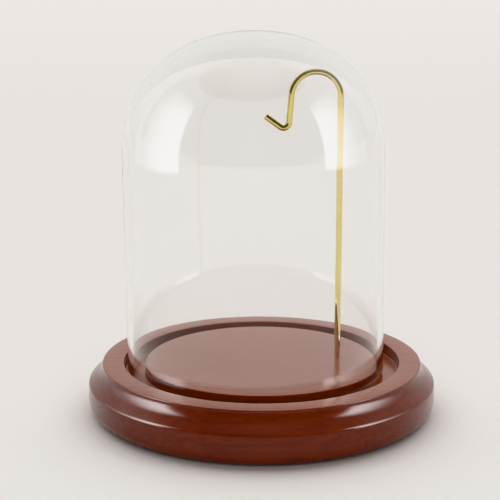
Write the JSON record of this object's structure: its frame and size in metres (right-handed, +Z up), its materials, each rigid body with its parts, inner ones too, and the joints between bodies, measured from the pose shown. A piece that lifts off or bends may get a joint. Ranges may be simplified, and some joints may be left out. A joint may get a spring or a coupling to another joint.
{
  "type": "bell jar dome",
  "caption": "Clear glass bell jar on a round turned wooden base with a retaining groove, covering an upright bent brass wire hook for hanging a watch or small ornament.",
  "frame": {"origin": "centre of the base's underside, in the plane that the felt pad rests on", "axes": "+Z up along the base's turning axis; the hook's arm points to -X; -Y is the side the display is seen from"},
  "size_m": [0.1024, 0.1024, 0.1121],
  "materials": {
    "clear_glass": "clear, fire-polished blown glass",
    "stained_wood": "mahogany stain under semi-gloss varnish",
    "bright_brass": "bright drawn brass wire",
    "dark_felt": "pressed felt"
  },
  "bodies": {
    "base": {"wood_base": "stained_wood", "felt_pad": "dark_felt"},
    "dome": {"glass_dome": "clear_glass"},
    "hook": {"brass_hook": "bright_brass"}
  },
  "joints": [
    {"name": "dome_lift", "type": "slide", "parent": "base", "child": "dome", "axis": [0, 0, 1], "range_m": [0, 0.095]},
    {"name": "hook_swivel", "type": "hinge", "parent": "base", "child": "hook", "pos_m": [0.0227, 0.0015, 0], "axis": [0, 0, 1], "range_deg": [-70, 70]}
  ]
}
